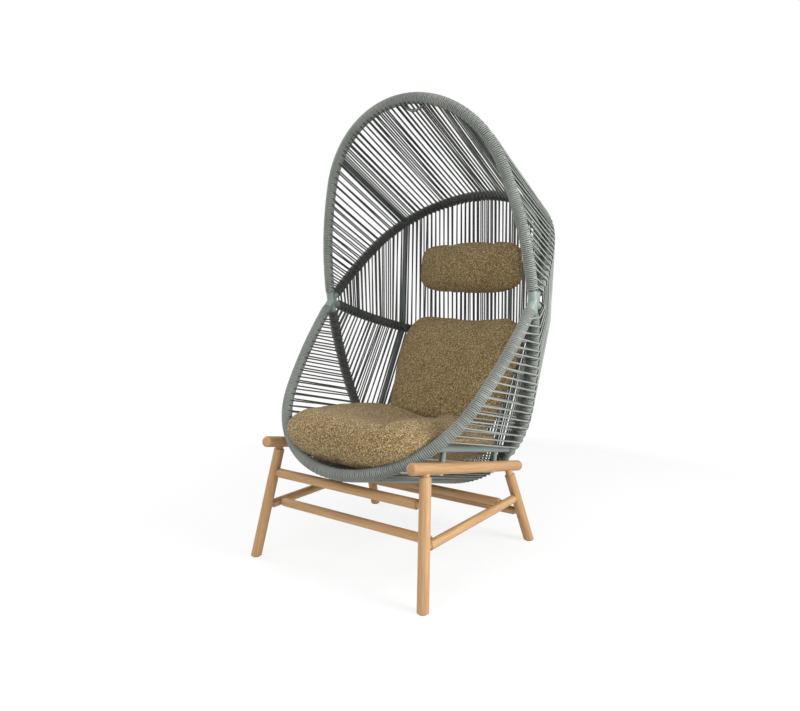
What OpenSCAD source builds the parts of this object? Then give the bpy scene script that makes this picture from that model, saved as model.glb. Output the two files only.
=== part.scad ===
// Pod chair: a hooded bucket of five rope-wound aluminium hoops, strung with rope,
// that is bolted to a turned wooden trestle and holds three loose cushions.
//
// The front faces -Y, left and right are as seen from the front, and +Z is up. The
// origin is on the floor, under the middle of the chair. All the hoops start and end
// at the two side joints. A hoop lies in a plane that is tilted about the line that
// joins the side joints, and is three tangent bends: a side bend, the crown bend and
// the other side bend. Each rope runs between the points where two neighbouring
// hoops have the same x.

/* [Pod] */
// Half of the width between the two side joints
pod_half_width = 416; // [400:1:430]
// Height of the side joints above the floor
joint_height = 830; // [800:1:860]
// Tilt of the hood rim, up from level at the back
hood_rim_tilt = 100; // [96:1:104]
// Reach of the hood rim from the line of the side joints
hood_rim_reach = 660; // [630:1:690]
// Turn of each side bend of the hood rim
hood_rim_shoulder = 20.5; // [17:0.5:25]
// Tilt of the arch behind the head
arch_tilt = 45; // [41:1:49]
// Reach of the arch
arch_reach = 582; // [560:1:600]
// Turn of each side bend of the arch
arch_shoulder = 17; // [15:0.5:21]
// Tilt of the belt behind the back
belt_tilt = -20; // [-24:1:-16]
// Reach of the belt
belt_reach = 450; // [440:1:470]
// Turn of each side bend of the belt
belt_shoulder = 50; // [45:0.5:52]
// Tilt of the seat hoop
seat_hoop_tilt = -80; // [-82:1:-78]
// Reach of the seat hoop
seat_hoop_reach = 655; // [645:1:662]
// Turn of each side bend of the seat hoop
seat_hoop_shoulder = 15; // [14:0.5:17]
// Tilt of the lower rim, which runs forward under the knees
lower_rim_tilt = 228; // [227:0.5:229]
// Reach of the lower rim
lower_rim_reach = 681; // [675:1:690]
// Turn of each side bend of the lower rim
lower_rim_shoulder = 15; // [14:0.5:17]

/* [Tubes] */
// Outer diameter of the hoop tubes
hoop_tube_d = 26; // [22:0.5:27]
// Outer diameter of the side joints along the two rims
joint_tube_d = 31; // [30:0.5:34]
// Bare length of a side joint along each rim
joint_arm = 34; // [34:1:42]
// Bare length of a side joint along each of the three rear hoops
branch_arm = 52; // [52:1:62]
// Outer diameter of the struts, posts and seat rails
brace_tube_d = 20; // [16:0.5:21]
// Wall of every tube
tube_wall = 2; // [1.5:0.1:3]
// Distance of the struts and posts from the side joints, counted along x
brace_inset = 126; // [120:1:136]

/* [Ropes] */
// Diameter of the rope
rope_d = 5; // [4:0.1:5.5]
// Distance from rope to rope of a panel, along the hood rim
rope_pitch = 24; // [22:0.5:30]
// Distance along the hood rim from a side joint to the first rope
first_rope = 78; // [72:1:110]

/* [Base] */
// Distance of the front end of a seat rail from its side joint, counted along x
rail_front_inset = 130; // [124:1:136]
// Distance of the rear end of a seat rail from its side joint, counted along x
rail_rear_inset = 113; // [110:1:118]
// Diameter of the two top rails
top_rail_d = 35; // [32:0.5:37]
// Length of a top rail
top_rail_length = 636; // [610:1:660]
// Length of a top rail in front of the seat rail's front end
top_rail_nose = 95; // [85:1:105]
// Radius of the rounded ends of a top rail
top_rail_fillet = 8.5; // [5:0.5:10]
// Diameter of the legs
leg_d = 34; // [31:0.5:36]
// Distance from the front end of a top rail to its front leg
front_leg_inset = 72; // [66:1:80]
// Distance from the rear end of a top rail to its rear leg
rear_leg_inset = 84; // [76:1:92]
// Forward lean of the front legs
front_leg_rake = 11.7; // [10:0.1:13]
// Outward lean of the front legs
front_leg_splay = 6.7; // [5:0.1:8]
// Backward lean of the rear legs
rear_leg_rake = 20.3; // [18:0.1:22]
// Outward lean of the rear legs
rear_leg_splay = 7.7; // [6:0.1:9]
// Diameter of the stretchers and cross rails
stretcher_d = 28; // [25:0.5:29]
// Height of the side stretchers and of the two cross rails between them
stretcher_height = 164; // [158:1:168]
// Distance along a side stretcher from the front leg to the front cross rail
front_cross_setback = 59; // [52:1:80]
// Distance along a side stretcher from the rear leg to the rear cross rail
rear_cross_setback = 84; // [76:1:100]
// Diameter of the rail between the front legs
front_rail_d = 30; // [26:0.5:31]
// Height of the rail between the front legs
front_rail_height = 274; // [260:1:280]
// Height of the rail between the rear legs
rear_rail_height = 108; // [90:1:112]
// Diameter of the tenons on the ends of the rails and stretchers
tenon_d = 20; // [16:0.5:22]
// Diameter of the tenons on the tops of the legs
leg_tenon_d = 24; // [20:0.5:26]
// Length of a tenon past the middle of the piece that it enters
tenon_reach = 9; // [5:0.5:10]
// Length of tenon left bare between a shoulder and the piece beside it
shoulder_reveal = 4; // [2:0.5:7]
// Chamfer of the shoulders
shoulder_chamfer = 3; // [2:0.5:3.5]
// Diameter of the glide under each leg
glide_d = 27; // [22:0.5:29]
// Thickness of a glide
glide_height = 3; // [2:0.5:5]

/* [Fastenings] */
// Length of the spacers between top rails and seat rails
spacer_height = 28; // [26:0.5:32]
// Outer diameter of a spacer
spacer_d = 16; // [14:0.5:17]
// Diameter of the bolt shanks
bolt_d = 8; // [6:0.5:8]
// Diameter of the bolt heads
bolt_head_d = 13; // [12:0.5:14]
// Height of the bolt heads
bolt_head_height = 5; // [4:0.5:6]
// Width of the hexagon recess in a bolt head, across its corners
bolt_drive_d = 6; // [5:0.5:7]
// Diameter of the flat seat under a top rail for a bolt's washer
spot_face_d = 19; // [18:0.5:20]
// Least depth of that seat, at its sides
spot_face_depth = 0.6; // [0.4:0.1:1.5]
// Diameter of the washers
washer_d = 17; // [15:0.5:17.5]
// Thickness of the washers
washer_height = 1.6; // [1:0.1:2.5]
// Distance from the front end of a seat rail to the front bolt
front_bolt_setback = 58; // [50:1:70]
// Distance from the rear leg forward to the rear bolt, along the top rail
rear_bolt_setback = 95; // [80:1:110]

/* [Cushions] */
// Distance from the side joints to the sides of the seat cushion, counted along x
seat_side_inset = 125; // [120:1:140]
// Share by which the seat cushion is wider at its rear than halfway
seat_flare_share = 0.07; // [0:0.01:0.09]
// Length of the seat cushion in front of the lower rim
seat_overhang = 3; // [0:1:8]
// Height of the seat cushion's seam above the front of the lower rim, at its front
seat_seam_rise = 95; // [90:1:100]
// Fall of that seam from the front of the cushion to its rear
seat_slope = 45; // [36:1:48]
// Rise of the middle of the seat cushion above its seam
seat_crown = 60; // [50:1:66]
// Rise of the rim of the seat cushion above its middle
seat_rim_rise = 28; // [15:1:32]
// Depth of the seat cushion below its seam
seat_belly = 80; // [70:1:90]
// Distance from the back cushion to the seat cushion
seat_back_gap = 3; // [1:0.5:8]
// Distance from the side joints to the sides of the back cushion, counted along x
back_side_inset = 172; // [168:1:196]
// Height of the top of the back cushion above the belt
back_rise = 87; // [80:1:95]
// Overall height of the back cushion
back_height = 411; // [400:1:420]
// Swell of the back cushion in front of its seam
back_crown = 55; // [45:1:62]
// Distance from the ropes to the back cushion's seam, at its sides
back_seam_inset = 20; // [14:1:26]
// Distance from the side joints to the sides of the headrest, counted along x
head_side_inset = 205; // [196:1:215]
// Half of the height of the headrest
head_half_height = 93; // [86:1:96]
// Height of the middle of the headrest above the belt
head_rise = 282; // [276:1:288]
// Swell of the headrest in front of its seam
head_crown = 42; // [35:1:50]
// Distance from the ropes to the headrest's seam, at its sides
head_seam_inset = 8; // [6:1:16]

/* [Hidden] */

TEAK = "burlywood";
POWDER_COAT = "darkseagreen";
ROPE = "slategray";
STEEL = "silver";
GLIDE = "dimgray";
BOUCLE = "darkkhaki";

// Smoothness of tubes and bars, and of a full turn of a bend
$fn = 48;
bend_fn = 240;

// Clearances
weld_gap = 0.05;
winding_gap = 0.1;
rope_end_gap = 0.3;
brace_end_gap = 1;
glue_gap = 0.15;
thread_gap = 0.1;
bolt_gap = 0.3;
seat_gap = 0.3;
pad_gap = 0.6;

// Swell of the ball in the middle of a side joint
joint_swell = 1.5;

hoop_tube_r = hoop_tube_d / 2;
joint_tube_r = joint_tube_d / 2;
brace_r = brace_tube_d / 2;
brace_half_width = pod_half_width - brace_inset;
rope_r = rope_d / 2;
leg_r = leg_d / 2;
top_rail_r = top_rail_d / 2;
stretcher_r = stretcher_d / 2;
front_rail_r = front_rail_d / 2;
tenon_r = tenon_d / 2;
leg_tenon_r = leg_tenon_d / 2;
bolt_r = bolt_d / 2;

// A winding is one rope thick, and the ropes of a panel lie level with its two sides
winding_r = hoop_tube_r + winding_gap + rope_d;
rope_lane = hoop_tube_r + winding_gap + rope_r;
pad_clearance = winding_r + pad_gap;

// Places are counted along y from the side joints, and body_shift then centres the
// whole chair on the origin. A hoop is its reach, its tilt and its side bends' turn.
REACH = 0;
TILT = 1;
SHOULDER = 2;
hood_rim = [hood_rim_reach, hood_rim_tilt, hood_rim_shoulder];
arch = [arch_reach, arch_tilt, arch_shoulder];
belt = [belt_reach, belt_tilt, belt_shoulder];
seat_hoop = [seat_hoop_reach, seat_hoop_tilt, seat_hoop_shoulder];
lower_rim = [lower_rim_reach, lower_rim_tilt, lower_rim_shoulder];

function unit(v) = v / norm(v);
function arc_length(radius, angle) = radius * angle * PI / 180;
function arc_angle(radius, length) = length / radius * 180 / PI;

// The crown bend and the side bends meet at the shoulder with one tangent
function bend_share(hoop) = sin(hoop[SHOULDER]) + cos(hoop[SHOULDER]) - 1;
function crown_r(hoop) =
    (pod_half_width * sin(hoop[SHOULDER]) - hoop[REACH] * (1 - cos(hoop[SHOULDER])))
    / bend_share(hoop);
function side_r(hoop) =
    (hoop[REACH] * cos(hoop[SHOULDER]) - pod_half_width * (1 - sin(hoop[SHOULDER])))
    / bend_share(hoop);
function half_crown_turn(hoop) = 90 - hoop[SHOULDER];
function half_crown_length(hoop) = arc_length(crown_r(hoop), half_crown_turn(hoop));
function side_length(hoop) = arc_length(side_r(hoop), hoop[SHOULDER]);

// The point of a hoop at x, counted from the side joints
function on_crown(hoop, x) = abs(x) < crown_r(hoop) * cos(hoop[SHOULDER]);
function lean_share(hoop, x) =
    on_crown(hoop, x) ? abs(x) / crown_r(hoop) : 1 - (pod_half_width - abs(x)) / side_r(hoop);
function reach_at(hoop, x) =
    on_crown(hoop, x)
        ? hoop[REACH] - crown_r(hoop) * (1 - sqrt(1 - pow(lean_share(hoop, x), 2)))
        : side_r(hoop) * sqrt(1 - pow(lean_share(hoop, x), 2));
function hoop_way(hoop) = [0, cos(hoop[TILT]), sin(hoop[TILT])];
function hoop_point(hoop, x) = [x, 0, joint_height] + reach_at(hoop, x) * hoop_way(hoop);
function hoop_tangent(hoop, x) =
    [sqrt(1 - pow(lean_share(hoop, x), 2)), 0, 0] - sign(x) * lean_share(hoop, x) * hoop_way(hoop);

// The x of a hoop at a length along it from its middle
function hoop_x(hoop, along) =
    along < half_crown_length(hoop)
        ? crown_r(hoop) * sin(arc_angle(crown_r(hoop), along))
        : pod_half_width - side_r(hoop)
            * (1 - cos(hoop[SHOULDER] - arc_angle(side_r(hoop), along - half_crown_length(hoop))));

// A panel of ropes runs from its first hoop to its second. Its outside is where
// panel_out points.
hood_panel = [hood_rim, arch];
back_panel = [arch, belt];
lower_back_panel = [belt, seat_hoop];
seat_panel = [seat_hoop, lower_rim];
function panel_way(panel, x) = unit(hoop_point(panel[1], x) - hoop_point(panel[0], x));
function panel_out(panel, end, x) = unit(cross(hoop_tangent(panel[end], x), panel_way(panel, x)));
function lane_end(panel, end, x, lane) = hoop_point(panel[end], x) + lane * panel_out(panel, end, x);

// Length by which a rope stops short of a hoop's middle, where its end just clears the
// winding all round
function rope_trim(panel, end, x) =
    let (across = norm(cross(hoop_tangent(panel[end], x), panel_way(panel, x))))
    max([for (turn = [0 : 10 : 90])
        sqrt(pow(winding_r + rope_end_gap, 2) - pow(rope_lane - rope_r * cos(turn), 2))
        + rope_r * sin(turn) * sqrt(1 - pow(across, 2))]) / across;

// Ropes are counted from the middle of the chair, and even ones lie inside the pod
rope_count = floor((half_crown_length(hood_rim) + side_length(hood_rim) - first_rope) / rope_pitch);
function rope_x(i) = sign(i) * hoop_x(hood_rim, abs(i) * rope_pitch);
function rope_layer(i) = abs(i) % 2 == 0 ? -rope_lane : rope_lane;

// The seat rails carry the pod, and each top rail lies below its seat rail
rail_front_half_width = pod_half_width - rail_front_inset;
rail_rear_half_width = pod_half_width - rail_rear_inset;
seat_rail_front = hoop_point(lower_rim, rail_front_half_width);
seat_rail_rear = hoop_point(seat_hoop, rail_rear_half_width);
rail_way = unit(seat_rail_rear - seat_rail_front);
rail_up = unit([0, 0, 1] - rail_way.z * rail_way);
top_rail_drop = brace_r + spacer_height + top_rail_r;
top_rail_front = seat_rail_front - top_rail_drop * rail_up - top_rail_nose * rail_way;
end_fillet = min(top_rail_fillet, top_rail_r / 2);
spot_face_drop = top_rail_drop + sqrt(pow(top_rail_r, 2) - pow(spot_face_d / 2, 2)) - spot_face_depth;
rear_bolt_place = min(
    top_rail_length - rear_leg_inset - rear_bolt_setback - top_rail_nose,
    norm(seat_rail_rear - seat_rail_front) - winding_r - spacer_d
);
bolt_places = [front_bolt_setback, rear_bolt_place];
function bolt_point(place, drop) = seat_rail_front + place * rail_way - drop * rail_up;

// Ropes of the seat panel this near to a seat rail stay inside, clear of the spacers
rail_band = rope_lane + spacer_d;
function beside_rail(x) =
    abs(x) > rail_front_half_width - rail_band && abs(x) < rail_rear_half_width + rail_band;

// Legs start on the middle lines of the top rails. A way is counted per unit of drop.
front_leg_top = top_rail_front + front_leg_inset * rail_way;
rear_leg_top = top_rail_front + (top_rail_length - rear_leg_inset) * rail_way;
front_leg_way = [tan(front_leg_splay), -tan(front_leg_rake), -1];
rear_leg_way = [tan(rear_leg_splay), tan(rear_leg_rake), -1];
function leg_point(top, way, height) = top + (top.z - height) * way;
front_foot = leg_point(front_leg_top, front_leg_way, glide_height);
rear_foot = leg_point(rear_leg_top, rear_leg_way, glide_height);

front_stretcher_end = leg_point(front_leg_top, front_leg_way, stretcher_height);
rear_stretcher_end = leg_point(rear_leg_top, rear_leg_way, stretcher_height);
stretcher_way = unit(rear_stretcher_end - front_stretcher_end);
front_cross_end = front_stretcher_end + front_cross_setback * stretcher_way;
rear_cross_end = rear_stretcher_end - rear_cross_setback * stretcher_way;
front_rail_end = leg_point(front_leg_top, front_leg_way, front_rail_height);
rear_rail_end = leg_point(rear_leg_top, rear_leg_way, rear_rail_height);

front_extent = max(
    leg_r * norm([1, front_leg_way.y]) - front_foot.y,
    winding_r - hoop_point(lower_rim, 0).y
);
rear_extent = winding_r + max(hoop_point(arch, 0).y, hoop_point(belt, 0).y);
body_shift = (front_extent - rear_extent) / 2;

// Distance from a joint's middle to a turned bar's shoulder, clear of its host
function shoulder_distance(way, host_way, bar_r, host_r) =
    let (across = norm(cross(unit(way), unit(host_way))))
    (host_r + shoulder_reveal + (bar_r - shoulder_chamfer) * sqrt(1 - pow(across, 2))) / across;

module placed() {
    translate([0, body_shift, 0]) children();
}

module left_side() {
    mirror([1, 0, 0]) placed() children();
}

module right_side() {
    placed() children();
}

module both_sides() {
    left_side() children();
    right_side() children();
}

module along(start, way) {
    translate(start)
        rotate([0, acos(way.z / norm(way)), atan2(way.y, way.x)])
            children();
}

module ring(outer_r, inner_r) {
    difference() {
        circle(r = outer_r);
        circle(r = inner_r);
    }
}

// Hoops. The three bends of a hoop are lengths of their own, butted with a hairline gap.
module bend(centre, radius, from, to) {
    translate(centre)
        rotate([0, 0, from])
            rotate_extrude(angle = to - from, $fn = bend_fn)
                translate([radius, 0])
                    children();
}

module side_bend(hoop, from, to) {
    bend([pod_half_width - side_r(hoop), 0, 0], side_r(hoop), from, to) children();
}

module in_plane_of(hoop) {
    translate([0, 0, joint_height]) rotate([hoop[TILT], 0, 0]) children();
}

module hoop_bar(hoop, arm) {
    placed() in_plane_of(hoop) {
        for (side = [0, 1])
            mirror([side, 0, 0])
                side_bend(hoop, arc_angle(side_r(hoop), arm),
                    hoop[SHOULDER] - arc_angle(side_r(hoop), weld_gap)) children();
        bend([0, hoop[REACH] - crown_r(hoop), 0], crown_r(hoop),
            hoop[SHOULDER], hoop[SHOULDER] + 2 * half_crown_turn(hoop)) children();
    }
}

module hoop_tube(hoop, arm) {
    color(POWDER_COAT) hoop_bar(hoop, arm) ring(hoop_tube_r, hoop_tube_r - tube_wall);
}

module hoop_winding(hoop, arm) {
    color(ROPE) hoop_bar(hoop, arm) ring(winding_r, hoop_tube_r + winding_gap);
}

module hood_rim_tube() hoop_tube(hood_rim, joint_arm);
module arch_tube() hoop_tube(arch, branch_arm);
module belt_tube() hoop_tube(belt, branch_arm);
module seat_hoop_tube() hoop_tube(seat_hoop, branch_arm);
module lower_rim_tube() hoop_tube(lower_rim, joint_arm);
module hood_rim_winding() hoop_winding(hood_rim, joint_arm);
module arch_winding() hoop_winding(arch, branch_arm);
module belt_winding() hoop_winding(belt, branch_arm);
module seat_hoop_winding() hoop_winding(seat_hoop, branch_arm);
module lower_rim_winding() hoop_winding(lower_rim, joint_arm);

module side_joint() {
    color(POWDER_COAT) {
        translate([pod_half_width, 0, joint_height]) sphere(r = joint_tube_r + joint_swell);
        for (hoop = [hood_rim, lower_rim])
            in_plane_of(hoop)
                side_bend(hoop, 0, arc_angle(side_r(hoop), joint_arm)) circle(r = joint_tube_r);
        for (hoop = [arch, belt, seat_hoop])
            in_plane_of(hoop)
                side_bend(hoop, 0, arc_angle(side_r(hoop), branch_arm)) circle(r = hoop_tube_r);
    }
}

module side_joint_left() left_side() side_joint();
module side_joint_right() right_side() side_joint();

// Braces of the pod
module cope(hoop, x) {
    along(hoop_point(hoop, x), hoop_tangent(hoop, x))
        cylinder(r = winding_r + brace_end_gap, h = 4 * brace_tube_d, center = true);
}

module brace(hoop_a, x_a, hoop_b, x_b) {
    start = hoop_point(hoop_a, x_a);
    way = hoop_point(hoop_b, x_b) - start;
    color(POWDER_COAT) difference() {
        along(start, way) linear_extrude(norm(way)) ring(brace_r, brace_r - tube_wall);
        cope(hoop_a, x_a);
        cope(hoop_b, x_b);
    }
}

module hood_strut() brace(hood_rim, brace_half_width, arch, brace_half_width);
module back_post() brace(arch, brace_half_width, belt, brace_half_width);
module lower_post() brace(belt, brace_half_width, seat_hoop, brace_half_width);

module seat_rail() {
    difference() {
        brace(lower_rim, rail_front_half_width, seat_hoop, rail_rear_half_width);
        for (place = bolt_places)
            along(bolt_point(place, brace_tube_d), rail_up)
                cylinder(r = bolt_r + thread_gap, h = brace_tube_d);
    }
}

module hood_strut_left() left_side() hood_strut();
module hood_strut_right() right_side() hood_strut();
module back_post_left() left_side() back_post();
module back_post_right() right_side() back_post();
module lower_post_left() left_side() lower_post();
module lower_post_right() right_side() lower_post();
module seat_rail_left() left_side() seat_rail();
module seat_rail_right() right_side() seat_rail();

// Ropes
module rope(panel, x, lane) {
    start = lane_end(panel, 0, x, lane);
    way = lane_end(panel, 1, x, lane) - start;
    first_trim = rope_trim(panel, 0, x);
    along(start + first_trim * unit(way), way)
        cylinder(r = rope_r, h = norm(way) - first_trim - rope_trim(panel, 1, x));
}

module panel_ropes(panel) {
    color(ROPE) placed()
        for (i = [-rope_count : rope_count])
            rope(panel, rope_x(i), rope_layer(i));
}

module hood_ropes() panel_ropes(hood_panel);
module back_ropes() panel_ropes(back_panel);
module lower_back_ropes() panel_ropes(lower_back_panel);

module seat_ropes() {
    color(ROPE) placed()
        for (i = [-rope_count : rope_count])
            rope(seat_panel, rope_x(i), beside_rail(rope_x(i)) ? -rope_lane : rope_layer(i));
}

// Turned wood. A bar's tenons pass the middles of the pieces at its two ends.
function turned_end(bar_r, neck_r, shoulder) = [
    [0, -tenon_reach],
    [neck_r, -tenon_reach],
    [neck_r, shoulder],
    [bar_r - shoulder_chamfer, shoulder],
    [bar_r, shoulder + shoulder_chamfer]
];
function flipped(outline, length) =
    [for (i = [len(outline) - 1 : -1 : 0]) [outline[i].x, length - outline[i].y]];

module turned_bar(start, end, bar_r, host_r, start_host_way, end_host_way) {
    way = end - start;
    start_shoulder = shoulder_distance(way, start_host_way, bar_r, host_r);
    end_shoulder = shoulder_distance(way, end_host_way, bar_r, host_r);
    along(start, way)
        rotate_extrude()
            polygon(concat(
                turned_end(bar_r, tenon_r, start_shoulder),
                flipped(turned_end(bar_r, tenon_r, end_shoulder), norm(way))
            ));
}

module mortise(place, way, neck_r, host_r) {
    depth = tenon_reach + glue_gap;
    along(place - depth * unit(way), way)
        cylinder(r = neck_r + glue_gap, h = depth + 2 * host_r);
}

// A rail that runs from one side of the chair to the other
module cross_bar(end, bar_r, host_r, host_way) {
    far_end = [-end.x, end.y, end.z];
    far_host_way = [-host_way.x, host_way.y, host_way.z];
    color(TEAK) placed() turned_bar(far_end, end, bar_r, host_r, far_host_way, host_way);
}

module front_rail() cross_bar(front_rail_end, front_rail_r, leg_r, front_leg_way);
module rear_rail() cross_bar(rear_rail_end, stretcher_r, leg_r, rear_leg_way);
module front_cross_rail() cross_bar(front_cross_end, stretcher_r, stretcher_r, stretcher_way);
module rear_cross_rail() cross_bar(rear_cross_end, stretcher_r, stretcher_r, stretcher_way);

module side_stretcher() {
    color(TEAK) difference() {
        turned_bar(front_stretcher_end, rear_stretcher_end, stretcher_r, leg_r,
            front_leg_way, rear_leg_way);
        for (place = [front_cross_end, rear_cross_end])
            mortise(place, [-1, 0, 0], tenon_r, stretcher_r);
    }
}

module leg(top, way, foot, stretcher_end, stretcher_side, rail_end) {
    shoulder = shoulder_distance(way, rail_way, leg_r, top_rail_r);
    length = norm(foot - top) + leg_d;
    color(TEAK) difference() {
        along(top, way)
            rotate_extrude()
                polygon(concat(
                    turned_end(leg_r, leg_tenon_r, shoulder),
                    [[leg_r, length], [0, length]]
                ));
        translate(foot) mirror([0, 0, 1]) cylinder(r = leg_d, h = 2 * leg_d);
        mortise(stretcher_end, stretcher_side * stretcher_way, tenon_r, leg_r);
        mortise(rail_end, [-1, 0, 0], tenon_r, leg_r);
    }
}

module front_leg() {
    leg(front_leg_top, front_leg_way, front_foot, front_stretcher_end, 1, front_rail_end);
}

module rear_leg() {
    leg(rear_leg_top, rear_leg_way, rear_foot, rear_stretcher_end, -1, rear_rail_end);
}

module top_rail() {
    color(TEAK) difference() {
        along(top_rail_front, rail_way) rotate_extrude() {
            square([top_rail_r - end_fillet, top_rail_length]);
            translate([0, end_fillet]) square([top_rail_r, top_rail_length - 2 * end_fillet]);
            for (height = [end_fillet, top_rail_length - end_fillet])
                translate([top_rail_r - end_fillet, height]) circle(r = end_fillet);
        }
        mortise(front_leg_top, front_leg_way, leg_tenon_r, top_rail_r);
        mortise(rear_leg_top, rear_leg_way, leg_tenon_r, top_rail_r);
        for (place = bolt_places) {
            along(bolt_point(place, top_rail_drop + top_rail_d), rail_up)
                cylinder(r = bolt_r + bolt_gap, h = 2 * top_rail_d);
            along(bolt_point(place, spot_face_drop), -rail_up)
                cylinder(r = spot_face_d / 2, h = top_rail_r);
        }
    }
}

module foot_glides() {
    color(GLIDE) both_sides()
        for (foot = [front_foot, rear_foot])
            translate([foot.x, foot.y, 0]) cylinder(r = glide_d / 2, h = glide_height);
}

module top_rail_left() left_side() top_rail();
module top_rail_right() right_side() top_rail();
module front_leg_left() left_side() front_leg();
module front_leg_right() right_side() front_leg();
module rear_leg_left() left_side() rear_leg();
module rear_leg_right() right_side() rear_leg();
module side_stretcher_left() left_side() side_stretcher();
module side_stretcher_right() right_side() side_stretcher();

// Fastenings of the pod to the base
module pod_spacers() {
    color(POWDER_COAT) both_sides()
        difference() {
            for (place = bolt_places)
                along(bolt_point(place, top_rail_drop), rail_up)
                    cylinder(r = spacer_d / 2, h = top_rail_drop);
            for (place = bolt_places)
                along(bolt_point(place, top_rail_drop), rail_up)
                    cylinder(r = bolt_r + bolt_gap, h = top_rail_drop);
            along(seat_rail_front, rail_way)
                cylinder(r = brace_r + seat_gap, h = top_rail_length);
            along(top_rail_front, rail_way)
                cylinder(r = top_rail_r + seat_gap, h = top_rail_length);
        }
}

module pod_bolts() {
    head_drop = spot_face_drop + washer_height;
    color(STEEL) both_sides()
        for (place = bolt_places)
            along(bolt_point(place, head_drop + bolt_head_height), rail_up)
                difference() {
                    rotate_extrude() polygon([
                        [0, 0],
                        [bolt_head_d / 4, 0],
                        [bolt_head_d / 2, bolt_head_height / 2],
                        [bolt_head_d / 2, bolt_head_height],
                        [bolt_r, bolt_head_height],
                        [bolt_r, bolt_head_height + head_drop],
                        [0, bolt_head_height + head_drop]
                    ]);
                    cylinder(d = bolt_drive_d, h = bolt_head_height, center = true, $fn = 6);
                }
}

module bolt_washers() {
    color(STEEL) both_sides()
        for (place = bolt_places)
            along(bolt_point(place, spot_face_drop + washer_height), rail_up)
                linear_extrude(washer_height) ring(washer_d / 2, bolt_r + bolt_gap);
}

// Cushions. A pad is two swollen faces that meet at a seam, drawn as rings of points
// from the middle of its first face to the middle of its second. A spot is
// [x, y, rho, first]: x and y are shares of the pad's half sizes, rho grows from 0 in the
// middle to 1 at the seam, and first is true on the first face.
PAD_SECTORS = 44;
PAD_RINGS = 7;
function squared(angle, corner_share) =
    [sign(cos(angle)) * pow(abs(cos(angle)), corner_share),
     sign(sin(angle)) * pow(abs(sin(angle)), corner_share)];
function pad_spot(ring, sector, corner_share) =
    let (rho = sin(90 * (ring > PAD_RINGS ? 2 * PAD_RINGS - ring : ring) / PAD_RINGS))
    concat(rho * squared(360 * sector / PAD_SECTORS, corner_share), [rho, ring <= PAD_RINGS]);
function pad_spots(corner_share) = concat(
    [[0, 0, 0, true]],
    [for (k = [1 : 2 * PAD_RINGS - 1], i = [0 : PAD_SECTORS - 1]) pad_spot(k, i, corner_share)],
    [[0, 0, 0, false]]
);
function pad_index(ring, sector) = 1 + (ring - 1) * PAD_SECTORS + sector % PAD_SECTORS;
pad_last = pad_index(2 * PAD_RINGS, 0);
pad_faces = concat(
    [for (i = [0 : PAD_SECTORS - 1]) [0, pad_index(1, i + 1), pad_index(1, i)]],
    [for (k = [1 : 2 * PAD_RINGS - 2], i = [0 : PAD_SECTORS - 1])
        each [
            [pad_index(k, i), pad_index(k, i + 1), pad_index(k + 1, i + 1)],
            [pad_index(k, i), pad_index(k + 1, i + 1), pad_index(k + 1, i)]
        ]],
    [for (i = [0 : PAD_SECTORS - 1])
        [pad_last, pad_index(2 * PAD_RINGS - 1, i), pad_index(2 * PAD_RINGS - 1, i + 1)]]
);

// The swell of a pad's faces, 1 in the middle and 0 at the seam. A high fullness keeps
// the faces plump up to the seam.
back_fullness = 4;
seat_fullness = 8;
function swell(rho, fullness) = sqrt(1 - pow(rho, fullness));

// The y of the rear ropes and the z of the seat's ropes, with the pad clearance
function line_y(panel, x, z) =
    let (a = hoop_point(panel[0], x), b = hoop_point(panel[1], x),
         out_y = min(abs(panel_out(panel, 0, x).y), abs(panel_out(panel, 1, x).y)))
    a.y + (z - a.z) * (b.y - a.y) / (b.z - a.z) - pad_clearance / out_y;
function wall_y(x, z) = min(line_y(back_panel, x, z), line_y(lower_back_panel, x, z));
function floor_z(x, y) =
    let (a = hoop_point(seat_hoop, x), b = hoop_point(lower_rim, x),
         out_z = min(abs(panel_out(seat_panel, 0, x).z), abs(panel_out(seat_panel, 1, x).z)))
    a.z + (y - a.y) * (b.z - a.z) / (b.y - a.y) + pad_clearance / out_z;

// Outlines of the pads: 1 is a diamond's share, and smaller is squarer
seat_corner_share = 2 / 4.2;
back_corner_share = 2 / 4.5;
head_corner_share = 2 / 4;

belt_z = hoop_point(belt, 0).z;
back_half_width = pod_half_width - back_side_inset;
back_top = belt_z + back_rise;
back_bottom = back_top - back_height;
back_middle = (back_bottom + back_top) / 2;
head_half_width = pod_half_width - head_side_inset;
head_top = belt_z + head_rise + head_half_height;
head_bottom = head_top - 2 * head_half_height;

// An upright pad's seam is straight from its bottom to its top, before the ropes
function seam_y(z, half_width, bottom, top, inset) =
    let (low = wall_y(half_width, bottom), high = wall_y(half_width, top))
    low + (z - bottom) / (top - bottom) * (high - low) - inset;
function upright_point(spot, half_width, bottom, top, inset, crown) =
    let (x = half_width * spot.x, z = (bottom + top) / 2 + (top - bottom) / 2 * spot.y,
         rise = swell(spot.z, back_fullness),
         wall = wall_y(x, z), seam = min(seam_y(z, half_width, bottom, top, inset), wall))
    [x, spot[3] ? seam - crown * rise : min(seam + (top - bottom) * rise, wall), z];

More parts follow.
